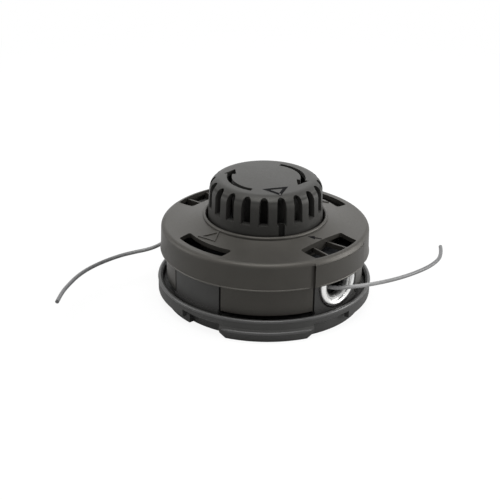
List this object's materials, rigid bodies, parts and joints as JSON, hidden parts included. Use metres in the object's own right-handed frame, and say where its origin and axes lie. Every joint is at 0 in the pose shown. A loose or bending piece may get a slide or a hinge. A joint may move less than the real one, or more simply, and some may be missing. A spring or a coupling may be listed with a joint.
{
  "type": "string trimmer head",
  "caption": "Round bump-feed string trimmer head with a slotted tap knob, windowed cover, bell-mouthed line eyelets, sprung spool and a threaded drive nut.",
  "frame": {"origin": "centre of the plane that the head rests on, on the drive axis", "axes": "+Z along the drive axis, from the gearbox side to the tap knob; the line eyelets are on the X axis, the latch posts on the Y axis"},
  "size_m": [0.1278, 0.1845, 0.0661],
  "materials": {
    "housing": "fine textured black-grey nylon",
    "cover": "fine textured black-grey nylon",
    "knob": "fine textured black-grey nylon",
    "spool": "plain black nylon",
    "eyelet": "satin turned aluminium",
    "nut": "zinc-plated steel",
    "spring_steel": "bright spring steel",
    "line": "translucent grey nylon monofilament"
  },
  "bodies": {
    "housing": {"housing": "housing", "cover": "cover", "drive_nut": "nut", "eyelet_right": "eyelet", "eyelet_left": "eyelet", "spring": "spring_steel", "line_right": "line", "line_left": "line"},
    "washer": {"thrust_washer": "spring_steel"},
    "spool": {"spool": "spool", "winding_lower": "line", "winding_upper": "line", "knob": "knob"}
  },
  "joints": [
    {"name": "knob_tap", "type": "slide", "parent": "housing", "child": "washer", "axis": [0, 0, -1], "range_m": [0, 0.006], "stiffness_N_per_m": 900, "springref_m": -0.009, "deforming": ["spring"]},
    {"name": "knob_wind", "type": "hinge", "parent": "washer", "child": "spool", "pos_m": [0, 0, 0.0352], "axis": [0, 0, -1], "continuous": true}
  ]
}
